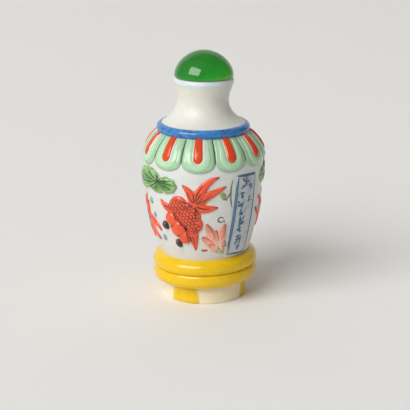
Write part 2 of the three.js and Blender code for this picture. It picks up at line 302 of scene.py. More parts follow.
def oval(centre, half_length, half_width, turn=0.0, waves=0, wave=0.0, count=48):
    """Ellipse about the centre, its rim swelling by the share wave, waves times round."""
    a = np.arange(count) / count * 2 * pi
    swell = 1 + wave * np.cos(waves * a)
    x, y = half_length * swell * np.cos(a), half_width * swell * np.sin(a)
    return np.stack([centre[0] + x * cos(turn) - y * sin(turn),
                     centre[1] + x * sin(turn) + y * cos(turn)], axis=1)


def four_sided(corners, steps=14):
    """The outline of a four-cornered shape, with points all along its sides."""
    corners = np.array(corners, float)
    t = np.arange(steps)[:, None] / steps
    return np.concatenate([a + t * (b - a) for a, b in zip(corners, np.roll(corners, -1, axis=0))])


# --- Materials ---


def linear(colour):
    """An sRGB hex colour as linear RGBA: ((c + 0.055) / 1.055)^2.4 above 0.04045, c / 12.92 below."""
    c = np.array([int(colour[i:i + 2], 16) for i in (1, 3, 5)]) / 255
    return (*np.where(c > 0.04045, ((c + 0.055) / 1.055) ** 2.4, c / 12.92), 1.0)


def add_node(tree, kind, settings=None, links=None):
    """Adds a node with its settings, by attribute or input name, and links {input: output socket}."""
    node = tree.nodes.new(kind)
    for name, value in (settings or {}).items():
        if name in node.inputs:
            node.inputs[name].default_value = value
        else:
            setattr(node, name, value)
    for name, socket in (links or {}).items():
        tree.links.new(socket, node.inputs[name])
    return node


def shaded(colour, factor):
    """The same linear colour, lighter or darker by the factor."""
    return (*(min(1.0, channel * factor) for channel in colour[:3]), 1.0)


def by_attribute(name):
    """The mesh attribute edge or along as a colour factor."""
    def factor(tree, place, cloud):
        return add_node(tree, "ShaderNodeAttribute", {"attribute_name": name}).outputs["Fac"]
    return factor


def by_height(low, high, lean=0.0):
    """Height in millimetres, from low to high, as a colour factor; it counts lean millimetres less for every
    millimetre towards +X."""
    def factor(tree, place, cloud):
        rise = add_node(tree, "ShaderNodeVectorMath", {"operation": "DOT_PRODUCT"}, {"Vector": place})
        rise.inputs[1].default_value = (-lean, 0.0, 1.0)
        return add_node(tree, "ShaderNodeMapRange", {"From Min": low * MM, "From Max": high * MM},
                        {"Value": rise.outputs["Value"]}).outputs["Result"]
    return factor


def by_cloud(tree, place, cloud):
    """The mottling itself as a colour factor."""
    return cloud


def glass_material(name, stops, base=None, factor=by_cloud, roughness=0.16, milkiness=0.15, mottle_mm=2.2,
                   mottle=0.12, shade="#8a8078", wave_mm=1.6, wave=0.05, depth_mm=1.0):
    """Opaque or overlay glass: a colour by the factor between the stops, mottled at the given scale, under a
    fire-polished skin whose low waves show only in the highlights. A stop holds a hex colour, or how light
    the base colour is made there. IOR 1.5 is that of soda or lead glass."""
    material = bpy.data.materials.new(name)
    material.use_nodes = True
    tree = material.node_tree
    shader = tree.nodes["Principled BSDF"]
    place = add_node(tree, "ShaderNodeTexCoord").outputs["Object"]
    cloud = add_node(tree, "ShaderNodeTexNoise", {"Scale": 1 / (mottle_mm * MM), "Detail": 3.0},
                     {"Vector": place})
    tint = add_node(tree, "ShaderNodeValToRGB", links={"Fac": factor(tree, place, cloud.outputs["Fac"])})
    band = tint.color_ramp.elements
    while len(band) < len(stops):
        band.new(0.5)
    for element, (position, tone) in zip(band, stops):
        element.position = position
        element.color = linear(tone) if isinstance(tone, str) else shaded(base, tone)
    amount = add_node(tree, "ShaderNodeMapRange", {"From Min": 0.45, "From Max": 0.75, "To Max": mottle},
                      {"Value": cloud.outputs["Fac"]})
    mixed = add_node(tree, "ShaderNodeMixRGB", {"blend_type": "MULTIPLY", "Color2": linear(shade)},
                     {"Fac": amount.outputs["Result"], "Color1": tint.outputs["Color"]})
    tree.links.new(mixed.outputs["Color"], shader.inputs["Base Color"])
    ripple = add_node(tree, "ShaderNodeTexNoise", {"Scale": 1 / (wave_mm * MM), "Detail": 2.0},
                      {"Vector": place})
    bump = add_node(tree, "ShaderNodeBump", {"Strength": wave, "Distance": 0.2 * MM},
                    {"Height": ripple.outputs["Fac"]})
    tree.links.new(bump.outputs["Normal"], shader.inputs["Normal"])
    for socket, value in (("Roughness", roughness), ("IOR", 1.5), ("Subsurface Weight", milkiness),
                          ("Subsurface Radius", (1.0, 0.9, 0.8)), ("Subsurface Scale", depth_mm * MM)):
        shader.inputs[socket].default_value = value
    return material


def milk_glass(settings):
    """Milk glass: opaque white soda glass, fire-polished and dulled a little by handling; warmer in the neck,
    where it is thinner, and colder in the band of the lip. Down at the foot it is painted lighter and yellower:
    a painted reflection of the yellow rings and patches beside it."""
    # The two cream stops at the foot, lowest on the height, are a painted reflection of the yellow rings and
    # patches.
    stops = ((0.0, "#f0e3be"), (0.08, "#eaddbe"), (0.22, "#d6d4cf"), (0.66, 1.0), (0.8, "#dbdbd6"),
             (0.93, "#dedcd2"), (0.962, "#dedccc"), (0.972, "#d4dadb"), (1.0, "#d8dee0"))
    return glass_material("milk glass", stops, settings.milk, by_height(0, 64.3), milkiness=0.25, mottle=0.16,
                          shade="#ccc3b2", roughness=0.38, wave=0.3)


def yellow_glass(settings):
    """Imperial yellow overlay glass, ground to round mouldings and polished."""
    stops = ((0.3, 0.96), (0.55, 1.0), (0.8, 0.9))
    return glass_material("imperial yellow glass", stops, settings.yellow, mottle=0.1, shade="#d0981c")


def patch_glass(settings):
    """The same yellow laid thin on the foot: it ran a little in the kiln, so its sides fade to cream."""
    stops = ((0.0, 1.0), (0.8, 0.97), (0.9, "#e6ce72"), (1.0, "#f0e2b6"))
    return glass_material("thin yellow glass", stops, settings.yellow, by_attribute("edge"), mottle=0.15,
                          shade="#d0981c")


def blue_glass(settings):
    """Sapphire blue overlay glass, streaked where it was drawn out to a thread."""
    stops = ((0.32, 0.6), (0.5, 0.95), (0.7, 1.4))
    return glass_material("sapphire blue glass", stops, settings.blue, milkiness=0.05, mottle_mm=1.2, wave=0.12)


def celadon_glass(settings):
    """Celadon overlay glass: pale where it is ground thin over the white, greener at the thick rim."""
    stops = ((0.0, 1.0), (0.5, 0.97), (0.8, 0.85), (1.0, 0.68))
    return glass_material("celadon glass", stops, settings.celadon, by_attribute("edge"), mottle=0.2,
                          shade="#a8b89c")


def ridge_glass(settings):
    """The same celadon glass on the lappets' inner ridges, paler and wetter from more polishing."""
    stops = ((0.35, 0.94), (0.7, 1.08))
    return glass_material("polished celadon glass", stops, settings.celadon, roughness=0.1, wave=0.1)


def coral_glass(settings):
    """Coral red overlay glass: burnt darker at the fins' tips."""
    stops = ((0.0, 1.0), (0.84, 1.04), (0.94, 0.62), (1.0, 0.28))
    return glass_material("coral glass", stops, settings.coral, by_attribute("along"), mottle=0.35,
                          shade="#c04c34", wave=0.1)


def heart_glass(settings):
    """Vermilion overlay glass of the lappets' hearts."""
    stops = ((0.35, 0.9), (0.7, 1.12))
    return glass_material("vermilion glass", stops, settings.vermilion, mottle=0.3, shade="#b03018", wave=0.12)


def leaf_glass(settings):
    """Leaf green overlay glass, paler at the wavy rim, where it is ground thin."""
    stops = ((0.0, 0.65), (0.45, 1.0), (0.75, "#98c480"), (1.0, "#90b87a"))
    return glass_material("leaf green glass", stops, settings.leaf, by_attribute("edge"), mottle=0.55,
                          shade="#5a8450", mottle_mm=1.2)


def lotus_glass(settings):
    """Salmon pink overlay glass of the petals, reddening to their tips."""
    stops = ((0.0, "#f6d2be"), (0.5, 1.0), (0.8, 0.72), (1.0, 0.42))
    return glass_material("salmon pink glass", stops, settings.salmon, by_attribute("along"), mottle=0.3,
                          shade="#cc9480")


def bubble_glass():
    """Smoky blue overlay glass of the bubbles."""
    return glass_material("smoky blue glass", ((0.3, "#6f93b2"), (0.7, "#93aec2")))


def plaque_glass(settings):
    """Grey-blue wash fired on the plaque: thin, so the white comes through in clouds."""
    stops = ((0.32, 0.66), (0.5, 1.0), (0.68, "#cfd0cb"))
    return glass_material("grey blue wash", stops, settings.wash, mottle_mm=2.6, mottle=0.35, shade="#a4a2b2",
                          roughness=0.2)


def border_glass():
    """Steel blue overlay glass of the plaque's border."""
    return glass_material("steel blue glass", ((0.3, "#3f6688"), (0.7, "#587e9c")), mottle=0.4, shade="#405a5a")


def bud_glass():
    """Thin green glass of the water weed's buds, paler down by the rings."""
    stops = ((0.0, "#b6c29a"), (1.0, "#86aa6a"))
    return glass_material("weed green glass", stops, factor=by_height(18, 32), mottle=0.6, shade="#5a7448",
                          mottle_mm=0.8)


def enamel(name, colour, second):
    """Enamel line drawn with a brush and fired: a little duller than the glass, and uneven in strength."""
    return glass_material(name, ((0.35, colour), (0.7, second)), roughness=0.3, milkiness=0.0, mottle_mm=0.8)


def black_glass():
    """Near-black glass of the eyes, dabbed on and fire-polished to a bead."""
    return glass_material("black glass", ((0.35, "#3a2c33"), (0.65, "#5a463c")), milkiness=0.0, mottle_mm=0.5,
                          roughness=0.15, wave_mm=0.5, wave=0.4)


def green_glass(settings):
    """Emerald green glass of the stopper: deep in the thick of the dome, brighter along its thin base and on
    the right, where light that came in from the left leaves it."""
    stops = ((0.0, "#58bc38"), (0.22, 1.5), (0.45, 1.0), (0.72, 0.88), (1.0, 0.66))
    return glass_material("emerald green glass", stops, settings.emerald, by_height(60.5, 74.0, 0.75),
                          mottle_mm=4.0, mottle=0.25, shade="#348034", milkiness=0.3, roughness=0.05,
                          depth_mm=3.0)


# --- Pieces ---


def placed(name, data):
    """A new object with the data, linked to the scene."""
    made = bpy.data.objects.new(name, data)
    bpy.context.collection.objects.link(made)
    return made


def smooth_mesh(name, points, faces, material):
    """A smooth mesh of one material."""
    mesh = bpy.data.meshes.new(name)
    mesh.from_pydata(points, [], faces)
    mesh.shade_smooth()
    mesh.materials.append(material)
    return mesh


def piece(name, shells, material, stands_for=None):
    """Puts the shells into one smooth mesh, each level shifted by the axis's sway, with the attributes edge
    (0 at a patch's middle, 1 at its rim) and along (0 at a root, 1 at a tip); it rides on the bottle."""
    offset = np.cumsum([0] + [len(shell.points) for shell in shells])
    points = np.concatenate([shell.points for shell in shells])
    points[:, 0] += np.interp(points[:, 2] / MM, *AXIS_SWAY) * MM
    triangles = np.concatenate([shell.triangles + start for shell, start in zip(shells, offset)])
    mesh = smooth_mesh(name, points, triangles, material)
    for attribute in ("edge", "along"):
        values = np.concatenate([getattr(shell, attribute) for shell in shells])
        mesh.attributes.new(attribute, "FLOAT", "POINT").data.foreach_set("value", values)
    made = placed(name, mesh)
    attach(made, "root")
    if stands_for:
        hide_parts(stands_for)


def motif_frame(centre, heading):
    """Brings points of a motif's own frame, x forwards and y to its left, to the wall: turn, then shift."""
    turn = np.array([[cos(heading), sin(heading)], [-sin(heading), cos(heading)]])
    return lambda points: np.array(points, float) @ turn + centre


def length_setting(name, description, millimetres):
    """A length for the user to change, given in millimetres and kept in metres."""
    return bpy.props.FloatProperty(name=name, description=description, unit="LENGTH", default=millimetres * MM)


def colour_setting(name, use, colour):
    """A colour for the user to change, given as sRGB hex, with its use."""
    return bpy.props.FloatVectorProperty(name=name, description=f"Colour of {use}", subtype="COLOR", size=4,
                                         min=0.0, max=1.0, default=linear(colour))


class BottleSettings(bpy.types.PropertyGroup):
    """Sizes and colours of the bottle, and of the stage that it stands on."""
    lappet_height: length_setting("Lappet height", "Rise of the lappets from the wall", 0.5)
    heart_height: length_setting("Heart height", "Rise of the lappets' hearts from the wall", 1.0)
    fin_height: length_setting("Fin height", "Rise of the goldfish's fins and tails from the wall", 0.6)
    head_height: length_setting("Head height", "Rise of the goldfish's heads from the wall", 1.3)
    leaf_height: length_setting("Leaf height", "Rise of the lotus leaves' folds from the wall", 1.2)
    petal_height: length_setting("Petal height", "Rise of a flower's lowest petal from the wall", 0.45)
    plaque_height: length_setting("Plaque height", "Rise of the plaque from the wall", 0.38)
    line_width: length_setting("Line width", "Width of the goldfish's drawn lines", 0.3)
    milk: colour_setting("Milk glass", "the body's wall", "#dbdddb")
    yellow: colour_setting("Yellow", "the rings and the foot's patches", "#e8bf0c")
    blue: colour_setting("Blue", "the cord", "#397bbd")
    celadon: colour_setting("Celadon", "the lappets", "#b6dcb6")
    vermilion: colour_setting("Vermilion", "the lappets' hearts", "#da481a")
    coral: colour_setting("Coral", "the goldfish", "#e85a38")
    leaf: colour_setting("Leaf green", "the lotus leaves", "#6ca454")
    salmon: colour_setting("Salmon", "the lotus petals", "#f2a68e")
    wash: colour_setting("Wash", "the plaque", "#c3cdd3")
    emerald: colour_setting("Emerald", "the stopper", "#1f8724")
    backdrop: colour_setting("Backdrop", "the floor and backdrop", "#eeedeb")
    key_light: bpy.props.FloatProperty(name="Key light", description="Power of the softbox", default=325.0,
                                       unit="POWER")
    room_light: bpy.props.FloatProperty(name="Room light", description="Strength of the plain surroundings",
                                        default=0.36)
    camera_distance: length_setting("Camera distance", "Level distance from the lens to the axis", 340.6)
    camera_height: length_setting("Camera height", "Height of the lens above the floor", 129.2)
    camera_dip: bpy.props.FloatProperty(name="Camera dip", description="Angle below the horizon",
                                        default=radians(16.8), unit="ROTATION")
    lens: bpy.props.FloatProperty(name="Lens", description="Focal length on a 36 mm sensor", default=107.4)


class StageOperator(bpy.types.Operator):
    """Lays the pale floor and backdrop, hangs the softbox, lights the room and sets the camera."""
    bl_idname = "snuff.stage"
    bl_label = "Stage"

    def execute(self, context):
        settings = context.scene.snuff_bottle
        self.lay_floor(settings.backdrop)
        self.hang_softbox(settings.key_light)
        self.light_room(context.scene, settings.room_light)
        camera = placed("camera", bpy.data.cameras.new("camera"))
        camera.data.lens = settings.lens
        camera.data.sensor_width = 36.0
        camera.data.clip_start = 0.01
        camera.location = (0, -settings.camera_distance, settings.camera_height)
        camera.rotation_euler = (pi / 2 - settings.camera_dip, 0, 0)
        context.scene.camera = camera
        return {"FINISHED"}

    def lay_floor(self, colour):
        """A sheet of paper that lies flat, then bends up in a quarter of a circle to a backdrop. Metres."""
        front, bend_start, bend_r, top, half_width = -1.5, 1.6, 0.8, 3.0, 2.5
        bend = [(bend_start + bend_r * sin(a), bend_r - bend_r * cos(a)) for a in np.linspace(0, pi / 2, 13)]
        sweep = [(front, 0.0), *bend, (bend_start + bend_r, top)]
        points = [(side * half_width, y, z) for y, z in sweep for side in (-1, 1)]
        faces = [(2 * i, 2 * i + 1, 2 * i + 3, 2 * i + 2) for i in range(len(sweep) - 1)]
        paper = bpy.data.materials.new("backdrop paper")
        paper.use_nodes = True
        shader = paper.node_tree.nodes["Principled BSDF"]
        shader.inputs["Base Color"].default_value = colour
        shader.inputs["Roughness"].default_value = 0.9
        floor = placed("floor", smooth_mesh("floor", points, faces, paper))

    def hang_softbox(self, power):
        """A large softbox high up in front on the left, aimed at the middle of the bottle. Metres."""
        aim = Vector((0, 0, 0.035))
        direction, distance = Vector((-0.55, -0.57, 0.60)), 6.0
        light = bpy.data.lights.new("softbox", "AREA")
        light.shape = "RECTANGLE"
        light.size, light.size_y = 4.6, 3.6
        light.energy = power
        light.color = (0.985, 1.0, 1.0)
        lamp = placed("softbox", light)
        lamp.location = aim + direction.normalized() * distance
        lamp.rotation_euler = (aim - lamp.location).to_track_quat("-Z", "Y").to_euler()

    def light_room(self, scene, strength):
        """Warm light from all round, about three times as strong from the left as from the right."""
        world = bpy.data.worlds.new("room")
        world.use_nodes = True
        tree = world.node_tree
        sky = tree.nodes["Background"]
        sky.inputs["Color"].default_value = (1.0, 0.965, 0.92, 1.0)
        way = add_node(tree, "ShaderNodeTexCoord").outputs["Generated"]
        split = add_node(tree, "ShaderNodeSeparateXYZ", links={"Vector": way})
        fall = add_node(tree, "ShaderNodeMapRange",
                        {"From Min": -1.0, "To Min": 1.44 * strength, "To Max": 0.44 * strength},
                        {"Value": split.outputs["X"]})
        tree.links.new(fall.outputs["Result"], sky.inputs["Strength"])
        scene.world = world
        scene.view_settings.view_transform = "Standard"


class BodyOperator(bpy.types.Operator):
    """Turns the hollow milk glass bottle: foot, core of the rings, wall, neck, lip and mouth."""
    bl_idname = "snuff.body"
    bl_label = "Milk glass body"

    def execute(self, context):
        recess_r, recess_z = FOOT_RECESS
        lip_top = LIP_CENTRE[1] + LIP_R
        lip_start = arc(LIP_CENTRE, LIP_R, -20, 90, 14)
        profile = np.concatenate([
            [(0.01, recess_z), (recess_r - 0.3, recess_z)],
            bezier((recess_r, recess_z - 0.2), ((recess_r, 0.6), (recess_r + 0.1, 0.3)),
                   (recess_r + 0.3, 0.05), 4),
            [(recess_r + 0.5, 0.0), (FOOT_R - FOOT_EDGE - 0.1, 0.0)],
            arc((FOOT_R - FOOT_EDGE, FOOT_EDGE), FOOT_EDGE, -80, 0, 6),
            [(FOOT_R, FOOT_TOP_Z - 0.3)],
            bezier((FOOT_R, FOOT_TOP_Z), ((13.2, 5.2), (14.2, 6.4)), (CORE_R, 8.2), 10),
            bezier((CORE_R, 8.4), ((CORE_R, 11.8), (13.4, 13.1)), (WALL_BASE[0], WALL_BASE[1] - 0.1), 10),
            WALL,
            arc(CORD_CENTRE, CORD_R - 0.35, -60, 90, 8),
            bezier((CORD_CENTRE[0], CORD_CENTRE[1] + CORD_R - 0.1), NECK_HANDLES, NECK, 30),
            bezier(NECK, LIP_HANDLES, lip_start[0], 16)[1:],
            lip_start[1:],
            [(MOUTH_R + 2 * MOUTH_EDGE, lip_top)],
            bezier((MOUTH_R + MOUTH_EDGE, lip_top), ((MOUTH_R + 0.1, lip_top), (MOUTH_R, lip_top - 0.1)),
                   (MOUTH_R, lip_top - MOUTH_EDGE), 4),
            bezier((MOUTH_R, MOUTH_FOOT_Z), HOLLOW_NECK_HANDLES[::-1], HOLLOW[-1], 10),
            np.array(HOLLOW[:0:-1], float),
            [(0.01, HOLLOW[0][1])],
        ])
        poles = [(0, 0, recess_z * MM), (0, 0, HOLLOW[0][1] * MM)]
        glass = milk_glass(context.scene.snuff_bottle)
        piece("bottle_glass", [Shell(leaned(turned(profile)), poles)], glass, "bottle")
        return {"FINISHED"}


class RingsOperator(bpy.types.Operator):
    """Fuses the two yellow ring mouldings and the yellow patches of the foot."""
    bl_idname = "snuff.rings"
    bl_label = "Yellow rings and foot patches"

    def execute(self, context):
        settings = context.scene.snuff_bottle
        seam_r, seam_z = RING_SEAM[0] - 0.25, RING_SEAM[1]
        low = np.concatenate([
            bezier((FOOT_R - 0.3, FOOT_TOP_Z), LOWER_RING_HANDLES, LOWER_RING, 16),
            bezier(LOWER_RING, RING_SEAM_HANDLES, (seam_r, seam_z - 0.02), 10)[1:],
            [(12.4, seam_z - 0.05), (11.0, 6.6)],
        ])
        high = np.concatenate([
            [(12.4, seam_z + 0.05)],
            bezier((seam_r, seam_z + 0.05), UPPER_RING_HANDLES, UPPER_RING_TOP, 20),
            bezier(UPPER_RING_TOP, ((13.3, 13.6), (13.0, 13.7)), (12.5, 13.7), 5)[1:],
            [(11.6, 12.8)],
        ])
        material = yellow_glass(settings)
        piece("ring_lower", [Shell(leaned(turned(low)))], material)
        piece("ring_upper", [Shell(leaned(turned(high)))], material)
        piece("foot_patches", [self.patch(middle) for middle in PATCH_MIDDLES], patch_glass(settings))
        return {"FINISHED"}

    def patch(self, middle):
        """A curved plate, wider by PATCH_FLARE degrees a side at its bottom. It stands PATCH_PROUD out of the
        foot at its middle, and 0.15 mm times the sixth power of the way across lower at its sides."""
        height = np.array([FOOT_TOP_Z + 0.6, 4.0, 3.0, 2.0, 1.2, FOOT_EDGE, 0.25, 0.1])
        half = PATCH_HALF + PATCH_FLARE * (FOOT_TOP_Z - height) / FOOT_TOP_Z
        across = np.linspace(-1, 1, 25)[:, None]
        angle = np.radians(middle + half * across)
        fall = np.where(height < FOOT_EDGE, 0.06 + 0.1 * (FOOT_EDGE - height) / FOOT_EDGE, 0.0)
        reach = FOOT_R + PATCH_PROUD - 0.15 * across ** 6 - fall
        outer = np.stack([reach * np.sin(angle), -reach * np.cos(angle), height + 0 * angle], axis=-1)
        inner = outer * np.array([0.96, 0.96, 1.0])
        rings = np.concatenate([outer, inner[:, ::-1]], axis=1) * MM
        poles = [rings[0].mean(axis=0), rings[-1].mean(axis=0)]
        return Shell(rings, poles, np.abs(across))


class CollarOperator(bpy.types.Operator):
    """Lays the blue cord and hangs the celadon lappets from it, with their hearts and dividing lines."""
    bl_idname = "snuff.collar"
    bl_label = "Cord and lappets"

    def execute(self, context):
        settings = context.scene.snuff_bottle
        around = np.arange(24) / 24 * 2 * pi
        tube = np.stack([CORD_CENTRE[0] + CORD_R * np.cos(around),
                         CORD_CENTRE[1] + CORD_R * np.sin(around)], axis=1)
        piece("cord", [Shell(turned(tube))], blue_glass(settings))
        heart_height = settings.heart_height / MM
        lappets, ridges, grounds, hearts, lines = [], [], [], [], []
        for i in range(LAPPET_COUNT):
            x = LAPPET_SHIFT + i * PITCH
            lappet = Dome(self.lappet_outline(x), settings.lappet_height / MM, 6.0,
                          middle=(x, LAPPET_MIDDLE_Z))
            lappets.append(lappet)
            ridges.append(stroke(self.ridge_path(x), 1.8, lappet.height_at, 0.2, 14))
            # The white ground round a heart is a thin white outline. Beside the front one it is wider and
            # shifted to the
            # right: there it is partly white glass and partly a painted highlight, the gloss that the ridge
            # there catches.
            shift, half = (0.45, 2.1) if i == 0 else (0.1, 1.7)
            grounds.append(self.bar(x + shift, half, 0.75 * heart_height))
            hearts.append(self.bar(x, HEART_HALF, heart_height))
            divider = np.linspace((x + PITCH / 2, 49.0), (x + PITCH / 2, 42.7), 16)
            lines.append(stroke(divider, 0.36, lappet.height_at, 0.16))
        piece("lappets", [lappet.shell(14) for lappet in lappets], celadon_glass(settings))
        piece("lappet_ridges", ridges, ridge_glass(settings))
        piece("lappet_grounds", grounds, milk_glass(settings))
        piece("lappet_hearts", hearts, heart_glass(settings))
        piece("lappet_lines", lines, enamel("black green enamel", "#23261d", "#3a3c2c"))
        return {"FINISHED"}

    def lappet_outline(self, x):
        """The round tip, the right side, the top under the cord, and the left side."""
        half = PITCH / 2 - 0.1
        sides = [np.linspace((x + half, LAPPET_SIDE_Z), (x + half, COLLAR_TOP_Z), 9)[1:],
                 np.linspace((x + half, COLLAR_TOP_Z), (x - half, COLLAR_TOP_Z), 9)[1:-1],
                 np.linspace((x - half, COLLAR_TOP_Z), (x - half, LAPPET_SIDE_Z), 9)[:-1]]
        return np.concatenate([bowl(x, LAPPET_SIDE_Z, half, LAPPET_SIDE_Z - LAPPET_TIP_Z, 25), *sides])

    def ridge_path(self, x):
        """Down the left leg, half a circle round, and up the right leg."""
        leg = np.linspace((x - RIDGE_R, 49.0), (x - RIDGE_R, 44.8), 9)
        return np.concatenate([leg, bowl(x, 44.5, RIDGE_R, RIDGE_R, 17), leg[::-1] + [2 * RIDGE_R, 0]])

    def bar(self, x, half, height):
        """A bar with a round lower end, running up under the cord."""
        outline = np.concatenate([bowl(x, 44.1, half, half, 17),
                                  np.linspace((x + half, 44.8), (x + half, 48.4), 6),
                                  bowl(x, 48.6, -half, -0.6, 17),
                                  np.linspace((x - half, 48.4), (x - half, 44.8), 6)])
        return Dome(outline, height, 5.0, middle=(x, 46.2)).shell(10)


# A goldfish in its own frame, x forwards and y to its left. Fins and tail lobes: root, handles, tip, width.
# Lobes of the trunk and head: middle, half-length, half-width, turn, share of the head's height.
FINS = (((0.2, -3.4), ((2.4, -5.6), (3.0, -7.2)), (2.6, -9.3), 2.5),
        ((0.4, 2.2), ((1.2, 3.9), (2.4, 5.8)), (4.8, 8.5), 3.3),
        ((-4.6, -2.2), ((-6.3, -4.0), (-6.6, -6.0)), (-6.2, -8.4), 2.5),
        ((-4.6, -1.8), ((-8.2, -3.6), (-12.0, -5.4)), (-15.4, -3.3), 2.7),
        ((-4.6, -1.8), ((-8.6, -2.2), (-11.2, -0.8)), (-15.0, 0.0), 2.6),
        ((-4.6, -1.6), ((-5.6, 0.9), (-7.2, 1.6)), (-9.2, 3.0), 2.6))
TRUNK_LOBES = ((-1.3, -1.0, 3.7, 4.0, 0.0, 0.78), (-1.2, -4.7, 2.8, 2.6, 0.2, 0.66),
               (-0.7, 2.5, 2.6, 2.4, 0.0, 0.66), (-4.4, -1.7, 2.3, 2.0, 0.0, 0.56))
HEAD_LOBES = ((3.5, -2.8, 2.0, 2.4, 0.2, 0.88), (4.0, 0.3, 2.4, 2.8, 0.0, 1.0), (4.1, 3.3, 2.1, 2.2, 0.3, 0.9))
EYES = ((7.0, -2.9), (7.3, 3.5))

# Its drawn lines, as start, end and bow: fanned out from the tail's root into the tail and back over the
# trunk, along the fins, and between the head's lobes.
RAYS = (((-5.2, -2.4), (-6.2, -6.0), 0.3), ((-5.6, -2.5), (-10.6, -4.7), 0.5),
        ((-5.6, -2.2), (-8.8, -3.3), 0.2), ((-5.6, -1.9), (-10.4, -1.3), -0.4),
        ((-5.4, -1.8), (-8.4, -2.2), 0.0), ((-5.2, -1.4), (-7.4, 1.6), -0.3), ((-5.0, -1.4), (-6.2, 0.6), 0.0),
        ((-5.4, -2.4), (-7.4, -4.6), 0.3), ((-4.8, -2.2), (-2.8, -5.6), 0.3), ((-4.8, -2.0), (-1.4, -3.4), 0.0),
        ((-4.8, -1.7), (-2.4, 1.4), 0.2), ((-4.9, -1.6), (-4.0, 1.0), 0.0), ((1.8, 4.2), (3.6, 7.0), 0.2),
        ((2.4, 3.8), (3.8, 6.2), 0.2), ((1.4, -4.9), (2.5, -7.2), -0.3), ((1.9, -4.6), (1.9, 1.0), 0.5),
        ((1.9, 0.8), (4.0, 5.2), 0.5), ((5.6, -1.4), (3.6, -1.2), 0.2), ((5.8, 1.8), (4.2, 1.9), 0.2))


class GoldfishOperator(bpy.types.Operator):
    """Carves the goldfish: fins and tail low, trunk and head higher, beads for the eyes, drawn lines."""
    bl_idname = "snuff.goldfish"
    bl_label = "Goldfish"

    def execute(self, context):
        settings = context.scene.snuff_bottle
        fin, top = settings.fin_height / MM, settings.head_height / MM
        coral = coral_glass(settings)
        lines = enamel("iron red enamel", "#5e1a14", "#7e261b")
        black = black_glass()
        for number, (centre, heading) in enumerate(GOLDFISH, 1):
            at = motif_frame(centre, heading)
            fins = [Blade(at(bezier(root, handles, tip, 28)), width, fin) for root, handles, tip, width in FINS]
            web = Dome(oval(at((-7.0, -2.6)), 2.9, 2.5, heading), 0.9 * fin, 3.0)
            trunk, head = [[Dome(oval(at((x, y)), a, b, heading + turn), top * high, 2.6)
                            for x, y, a, b, turn, high in lobes] for lobes in (TRUNK_LOBES, HEAD_LOBES)]
            patches = [*fins, web, *trunk, *head]
            piece(f"goldfish_{number}", [patch.shell() for patch in patches], coral)
            eyes = [Dome(oval(at(place), 1.35, 0.95, heading + 1.45), 0.85 * top, 2.0) for place in EYES]
            piece(f"goldfish_{number}_eyes", [eye.shell() for eye in eyes], black)
            under = envelope(patches)
            rays = [stroke(at(bowed(start, end, bow, 14)), settings.line_width / MM, under)
                    for start, end, bow in RAYS]
            scales = self.scales(at, under, envelope(trunk), envelope(head))
            piece(f"goldfish_{number}_lines", rays + scales, lines)
        return {"FINISHED"}

    def scales(self, at, under, trunk, head):
        """Arcs in staggered rows, each a little out of its place by chance, wherever the trunk stands well
        clear of the wall and the head."""
        chance = np.random.default_rng(3)
        a = np.linspace(-1.5, 1.5, 9)
        shells = []
        for row in range(8):
            for column in range(12):
                place = (-4.7 + 0.86 * row, -7.2 + 1.1 * (column + 0.5 * (row % 2)))
                x, y = place + chance.uniform(-0.14, 0.14, 2)
                spot = at((x, y))
                size = chance.uniform(0.5, 0.62)
                if trunk(*spot) > 0.42 and head(*spot) < 0.5:
                    rim = np.stack([x + 1.2 * size * np.cos(a), y + size * np.sin(a)], axis=1)
                    shells.append(stroke(at(rim), chance.uniform(0.2, 0.3), under))
        return shells


# Folds of a lotus leaf about its middle: shift, half-width, half-height, waves of the rim, share of the height.
LEAF_FOLDS = ((-4.0, 0.9, 4.7, 3.1, 10, 1.0), (2.7, 0.0, 3.3, 2.4, 8, 0.85), (-0.9, -0.8, 4.4, 2.0, 10, 0.7),
              (-7.6, 0.2, 3.4, 3.2, 8, 1.0))

# Veins: direction and reach of those from its middle, start and direction of the short ones.
MAIN_VEINS = ((-0.15, 5.4), (0.2, 4.6), (0.9, 1.4), (1.9, 2.6), (2.4, 5.0), (2.9, 7.4), (3.3, 9.0), (3.8, 5.6),
              (4.3, 3.6), (4.9, 3.0), (5.4, 3.4), (5.8, 4.6))
SIDE_VEINS = ((-2.6, 2.4, 2.2), (-3.8, 1.4, 2.6), (-5.0, 2.6, 2.6), (-6.6, 0.6, 3.0), (-4.4, -0.8, 3.6),
              (-7.2, -1.8, 3.5), (-6.0, 2.0, 2.4), (2.4, 0.9, 0.5), (3.6, 0.5, 0.3), (2.2, -0.9, 5.8),
              (3.8, -0.7, 5.9), (-1.2, -2.2, 4.4))

# Tips of a lotus flower's petals about its middle.
PETAL_TIPS = ((-4.9, 1.4), (-3.5, 5.6), (-0.7, 3.5), (2.2, 5.2), (3.1, -1.3), (-2.8, -1.0))


